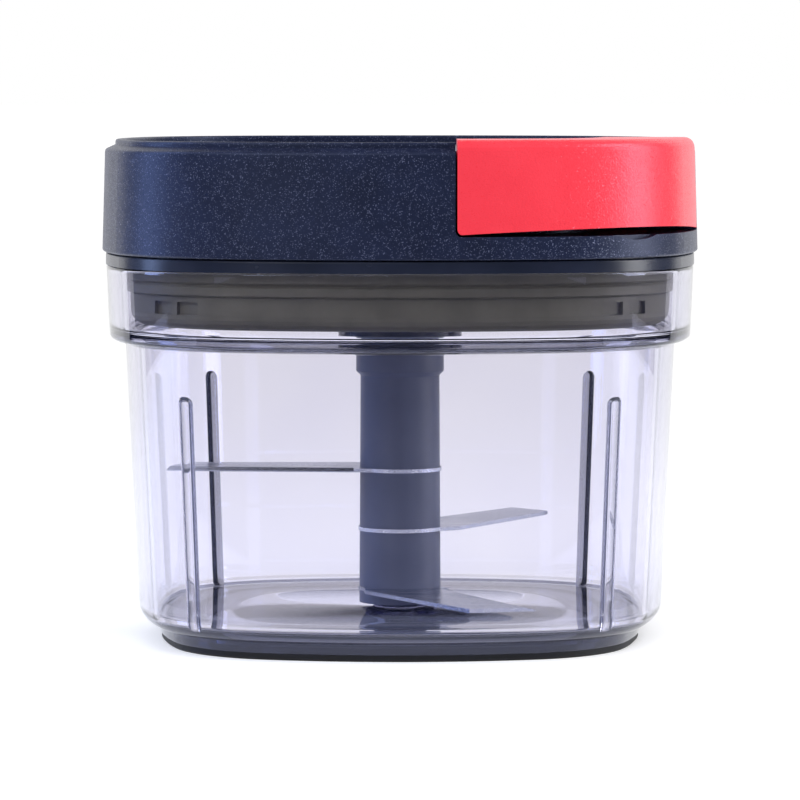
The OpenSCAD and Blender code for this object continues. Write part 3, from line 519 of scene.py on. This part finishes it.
def moulded_plastic(name, body, dark, rough, gloss, ior=1.5):
    """Plain moulded plastic: even colour with slow clouding, and a fine skin that softens the
    highlights."""
    material, tree, place = surface(name)
    cloud = add(tree, "ShaderNodeTexNoise", {
        "Vector": place, "Scale": 1 / (12 * MM), "Detail": 3.0,
    }).outputs["Fac"]
    skin = add(tree, "ShaderNodeTexNoise", {
        "Vector": place, "Scale": 1 / (0.5 * MM), "Detail": 2.0,
    }).outputs["Fac"]
    bump = add(tree, "ShaderNodeBump", {"Height": skin, "Strength": 0.06, "Distance": 0.03 * MM})
    colour = add(tree, "ShaderNodeValToRGB", {"Fac": cloud}, [(0.35, dark), (0.65, body)])
    shine = add(tree, "ShaderNodeMapRange", {"Value": cloud, "To Min": gloss, "To Max": rough})
    shader = add(tree, "ShaderNodeBsdfPrincipled", {
        "Base Color": colour.outputs["Color"], "Roughness": shine.outputs["Result"], "IOR": ior,
        "Normal": bump.outputs["Normal"],
    })
    add(tree, "ShaderNodeOutputMaterial", {"Surface": shader.outputs[0]})
    return material


def moulded_rubber(name, body, dark, rough):
    """Moulded rubber: matt, with a fine grain and dusty clouds."""
    material, tree, place = surface(name)
    dust = add(tree, "ShaderNodeTexNoise", {
        "Vector": place, "Scale": 1 / (6 * MM), "Detail": 5.0,
    }).outputs["Fac"]
    grain = add(tree, "ShaderNodeTexNoise", {
        "Vector": place, "Scale": 1 / (0.35 * MM), "Detail": 2.0,
    }).outputs["Fac"]
    bump = add(tree, "ShaderNodeBump", {"Height": grain, "Strength": 0.15, "Distance": 0.05 * MM})
    colour = add(tree, "ShaderNodeValToRGB", {"Fac": dust}, [(0.3, dark), (0.7, body)])
    shine = add(tree, "ShaderNodeMapRange", {
        "Value": dust, "To Min": rough, "To Max": rough + 0.15,
    })
    shader = add(tree, "ShaderNodeBsdfPrincipled", {
        "Base Color": colour.outputs["Color"], "Roughness": shine.outputs["Result"], "IOR": 1.42,
        "Normal": bump.outputs["Normal"],
    })
    add(tree, "ShaderNodeOutputMaterial", {"Surface": shader.outputs[0]})
    return material


def ground_steel(name, pale, dark, rough, scratch):
    """Steel ground one way: long fine scratches that stretch its highlights. The scratches are
    drawn several times wider than real ones so that they show."""
    material, tree, place = surface(name)
    along = add(tree, "ShaderNodeMapping", {
        "Vector": place, "Scale": (1 / (20 * MM), 1 / scratch, 1 / scratch),
    })
    lines = add(tree, "ShaderNodeTexNoise", {
        "Vector": along.outputs["Vector"], "Scale": 1.0, "Detail": 3.0,
    }).outputs["Fac"]
    bump = add(tree, "ShaderNodeBump", {"Height": lines, "Strength": 0.1, "Distance": 0.02 * MM})
    colour = add(tree, "ShaderNodeValToRGB", {"Fac": lines}, [(0.3, dark), (0.7, pale)])
    shine = add(tree, "ShaderNodeMapRange", {
        "Value": lines, "To Min": rough, "To Max": rough + 0.12,
    })
    shader = add(tree, "ShaderNodeBsdfPrincipled", {
        "Base Color": colour.outputs["Color"], "Metallic": 1.0,
        "Roughness": shine.outputs["Result"], "Anisotropic": 0.4, "Normal": bump.outputs["Normal"],
    })
    add(tree, "ShaderNodeOutputMaterial", {"Surface": shader.outputs[0]})
    return material


def braided_cord():
    """Braided polyester cord: strands that cross at about 35 degrees either way, with a soft
    sheen and painted shade that darkens the grooves between the strands."""
    material, tree, place = surface("polyester_cord_braided")
    lay = []
    for lean in (35, -35):
        turn = (0, 0, -PULL_A + math.radians(lean))
        laid = add(tree, "ShaderNodeMapping", {"Vector": place, "Rotation": turn})
        lay.append(add(tree, "ShaderNodeTexWave", {
            "Vector": laid.outputs["Vector"], "Scale": 1 / (3.2 * MM),
        }).outputs["Fac"])
    weave = add(tree, "ShaderNodeMath", {0: lay[0], 1: lay[1]}, operation="MAXIMUM").outputs[0]
    bump = add(tree, "ShaderNodeBump", {"Height": weave, "Strength": 0.6, "Distance": 0.12 * MM})
    # Darker where the weave is low, in the grooves between strands: painted shade
    colour = add(tree, "ShaderNodeValToRGB", {"Fac": weave}, [(0.3, "#b9b5a6"), (0.8, "#eeece3")])
    shader = add(tree, "ShaderNodeBsdfPrincipled", {
        "Base Color": colour.outputs["Color"], "Roughness": 0.75, "Sheen Weight": 0.3,
        "Normal": bump.outputs["Normal"],
    })
    add(tree, "ShaderNodeOutputMaterial", {"Surface": shader.outputs[0]})
    return material


def dress(material, *names):
    """Gives CAD nodes a material, and smooth shading except at their edges."""
    for name in names:
        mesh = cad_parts[name].data
        mesh.materials.clear()
        mesh.materials.append(material)
        mesh.shade_smooth()
        mesh.set_sharp_from_angle(angle=SHARP_A)


# Camera

camera = bpy.data.objects.new("camera", bpy.data.cameras.new("camera"))
camera.data.sensor_width = SENSOR_MM
camera.data.lens = FOCAL_PX / IMAGE_PX * SENSOR_MM
camera.location = CAMERA_AT
camera.rotation_euler = (math.pi / 2 - CAMERA_PITCH, 0, 0)
bpy.context.collection.objects.link(camera)
bpy.context.scene.camera = camera

# Pieces

cord = braided_cord()
turns = cord_tube("cord_turns", winding_path())
turns.data.materials.append(cord)
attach(turns, "reel")
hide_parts("cord_winding")

run = cord_tube("cord_run", run_path())
run.data.materials.append(cord)
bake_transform(run)
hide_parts("pull_cord")

knot = cord_tube("cord_end_knot", knot_path(), closed=True)
lead_line = line((U_BLOCK, 0), (U_KNOT, 0), LEAD_STEPS)
lead = cord_tube("cord_end_lead", [pulled(u, v, Z_CORD) for u, v in lead_line])
for piece in (knot, lead):
    piece.data.materials.append(cord)
    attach(piece, "handle")
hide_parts("cord_knot")

bowl = clear_bowl()
bowl.data.materials.append(clear_styrene())
bowl.data.set_sharp_from_angle(angle=BOWL_SHARP_A)
bowl.visible_shadow = False
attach(bowl, "bowl")
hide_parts("bowl")

dress(
    moulded_rubber("tpe_ring_moulded", "#0b0d18", "#070810", rough=0.5),
    "anti_slip_ring",
)
dress(
    moulded_rubber("silicone_sleeve_moulded", "#626055", "#57554b", rough=0.4),
    "seal_ring",
)
dress(
    pearl_plastic("abs_navy_pearl_moulding", "#1d243f", "#191f37", "#a9b2dc",
                  share=0.12, depth=0.26, rough=0.38, grain=0.2),
    "lid_housing",
)
dress(
    pearl_plastic("abs_coral_pearl_moulding", "#fb3d4b", "#f63846", "#ff8f98",
                  share=0.06, depth=0.06, rough=0.32, grain=1.0),
    "pull_handle", "handle_plug",
)
dress(
    moulded_plastic("abs_navy_gloss_moulding", "#20263a", "#1b2133", rough=0.3, gloss=0.22),
    "lower_cover",
)
dress(
    moulded_plastic("pp_slate_moulding", "#5e6479", "#575d72", rough=0.45, gloss=0.38, ior=1.4),
    "stem_top", "stem_spacer_upper", "stem_spacer_lower", "stem_foot",
)
dress(
    moulded_plastic("pp_dark_moulding", "#2c3040", "#272b3a", rough=0.4, gloss=0.3),
    "stem_core", "drive_coupling",
)
dress(
    ground_steel("stainless_blade_ground", "#c4c8d4", "#b2b6c4", rough=0.2, scratch=0.25 * MM),
    "blade_upper", "blade_middle", "blade_lower",
)
dress(
    ground_steel("stainless_pin_turned", "#d2d3d6", "#b4b6bb", rough=0.22, scratch=0.3 * MM),
    "pivot_pin", "cord_eyelet", "reel_washer",
)
dress(
    ground_steel("zinc_screw_plated", "#c4c6c8", "#a6a8ac", rough=0.3, scratch=0.3 * MM),
    "cover_screws", "reel_screw",
)
dress(
    ground_steel("spring_steel_blued", "#6d7688", "#565e70", rough=0.25, scratch=0.3 * MM),
    "power_spring",
)
dress(
    moulded_plastic("pom_natural_moulding", "#e6e3d6", "#dcd8ca", rough=0.38, gloss=0.3, ior=1.48),
    "pivot_bush", "drive_bush", "reel", "spring_cover",
)
dress(
    moulded_plastic("pa_orange_moulding", "#d9782f", "#cb6d28", rough=0.42, gloss=0.34),
    "pawl_a", "pawl_b",
)

# Set


def seen_rays(tree, path):
    """1 for rays of the eye, of reflections and through clear plastic, and 0 for others."""
    seen = path["Is Camera Ray"]
    for ray in ("Is Glossy Ray", "Is Transmission Ray"):
        seen = add(tree, "ShaderNodeMath", {0: seen, 1: path[ray]}, operation="MAXIMUM").outputs[0]
    return seen


# World: white to the eye, in reflections and through clear plastic, and a little softer as light
SKY_LIGHT = 0.7
world = bpy.data.worlds.new("studio")
bpy.context.scene.world = world
world.use_nodes = True
tree = world.node_tree
tree.nodes.clear()
seen = seen_rays(tree, add(tree, "ShaderNodeLightPath").outputs)
soft = add(tree, "ShaderNodeBackground", {"Color": linear("#ffffff"), "Strength": SKY_LIGHT})
white = add(tree, "ShaderNodeBackground", {"Color": linear("#ffffff"), "Strength": 1.0})
mix = add(tree, "ShaderNodeMixShader", {0: seen, 1: soft.outputs[0], 2: white.outputs[0]})
add(tree, "ShaderNodeOutputWorld", {"Surface": mix.outputs[0]})


ANY_CROSSINGS = 99


def stage_mesh(name, points, faces, code, lift=0.0, crossings=ANY_CROSSINGS):
    """A matt sheet of the set. lift is light that only the eye, reflections and clear plastic get.
    Light that has crossed more clear surfaces than crossings doesn't meet the sheet."""
    mesh = bpy.data.meshes.new(name)
    mesh.from_pydata(points, [], faces)
    material, tree, _ = surface(name + "_matt")
    matt = add(tree, "ShaderNodeBsdfDiffuse", {"Color": linear(code)})
    path = add(tree, "ShaderNodeLightPath").outputs
    seen = seen_rays(tree, path)
    lifted = add(tree, "ShaderNodeMath", {0: seen, 1: lift}, operation="MULTIPLY")
    glow = add(tree, "ShaderNodeEmission", {"Strength": lifted.outputs[0]})
    both = add(tree, "ShaderNodeAddShader", {0: matt.outputs[0], 1: glow.outputs[0]})
    past = add(tree, "ShaderNodeMath", {
        0: path["Transmission Depth"], 1: crossings + 0.5,
    }, operation="GREATER_THAN")
    gone = add(tree, "ShaderNodeBsdfTransparent")
    shown = add(tree, "ShaderNodeMixShader", {
        0: past.outputs[0], 1: both.outputs[0], 2: gone.outputs[0],
    })
    add(tree, "ShaderNodeOutputMaterial", {"Surface": shown.outputs[0]})
    mesh.materials.append(material)
    made = bpy.data.objects.new(name, mesh)
    bpy.context.collection.objects.link(made)
    return made


FLOOR_HALF = 20.0
FLOOR_LIFT = 0.29
corners = [(-1, -1), (1, -1), (1, 1), (-1, 1)]
floor_points = [(x * FLOOR_HALF, y * FLOOR_HALF, 0) for x, y in corners]
stage_mesh("floor_paper", floor_points, [(0, 1, 2, 3)], "#ebebeb", FLOOR_LIFT)


CLOTH_STEPS = 40
CLOTH_BLACK = "#171922"
CLOTH_DARK = "#232738"
CLOTH_GREY = "#5e6278"
CLOTH_FOOT = (0.1, 0.5 * MM)
CLOTH_LOW = (0.6, 0.5 * MM)
CLOTH_HIGH = (0.6, 0.5)
NEAR_TOP = (0.2, 0.13)
ABOVE_OUTER = (0.8, 0.9)
ABOVE_INNER = (0.01, 0.9)


def dark_cloth(name, start, end, low, high, code, crossings=ANY_CROSSINGS):
    """A dark cloth round part of the set between two edges of (radius, height), with angles in
    degrees from straight behind."""
    points = []
    for i in range(CLOTH_STEPS + 1):
        a = math.radians(90 + start + (end - start) * i / CLOTH_STEPS)
        points += [(r * math.cos(a), r * math.sin(a), z) for r, z in (low, high)]
    faces = [(2 * i, 2 * i + 2, 2 * i + 3, 2 * i + 1) for i in range(CLOTH_STEPS)]
    made = stage_mesh(name, points, faces, code, crossings=crossings)
    made.visible_camera = False
    made.visible_diffuse = False
    made.visible_shadow = False
    return made


# Cloths that only reflections show: they keep the dark plastic and the lid's shoulder dark
for name, start, end, low, high, code in (
    ("cloth_near", 125, 235, CLOTH_FOOT, NEAR_TOP, CLOTH_BLACK),
    ("cloth_round", 50, 310, CLOTH_LOW, CLOTH_HIGH, CLOTH_DARK),
    ("cloth_above", 0, 360, ABOVE_OUTER, ABOVE_INNER, CLOTH_DARK),
):
    dark_cloth(name, start, end, low, high, code).visible_transmission = False

# Cloths that only clear plastic shows: they draw dark lines in its ribs, and the one on the ground
# keeps the white floor's reflection off the inside of the bowl's front wall
for name, start, end, low, high, crossings in (
    ("cloth_ground", 90, 270, CLOTH_FOOT, CLOTH_LOW, 2),
    ("cloth_front", 150, 210, CLOTH_LOW, CLOTH_HIGH, ANY_CROSSINGS),
    ("cloth_left", 55, 125, CLOTH_LOW, CLOTH_HIGH, ANY_CROSSINGS),
    ("cloth_right", -125, -55, CLOTH_LOW, CLOTH_HIGH, ANY_CROSSINGS),
):
    dark_cloth(name, start, end, low, high, CLOTH_GREY, crossings).visible_glossy = False


def lamp(name, kind, at, target, power, **settings):
    """A soft lamp that faces a point."""
    data = bpy.data.lights.new(name, kind)
    data.energy = power
    for key, value in settings.items():
        setattr(data, key, value)
    made = bpy.data.objects.new(name, data)
    made.location = at
    made.rotation_euler = (Vector(target) - Vector(at)).to_track_quat("-Z", "Y").to_euler()
    bpy.context.collection.objects.link(made)


MIDDLE = (0, 0, 60 * MM)
PURE_WHITE = "#ffffff"
COOL_WHITE = "#a9c4ff"
lamp("window", "SUN", (-0.5, -0.7, 0.9), MIDDLE, power=0.9, angle=math.radians(50))
for name, at, power, width, height, code in (
    ("strip_left", (-0.5, 0.08, 0.26), 1.1, 0.14, 0.5, COOL_WHITE),
    ("strip_right", (0.5, -0.02, 0.26), 1.7, 0.18, 0.5, PURE_WHITE),
    ("strip_front", (-0.3, -0.45, 0.3), 0.25, 0.06, 0.4, PURE_WHITE),
    ("top", (0, 0, 0.8), 0.2, 0.6, 0.6, PURE_WHITE),
):
    lamp(name, "AREA", at, MIDDLE, power=power, shape="RECTANGLE", size=width, size_y=height,
         color=linear(code)[:3])

bpy.context.scene.view_settings.view_transform = "Standard"
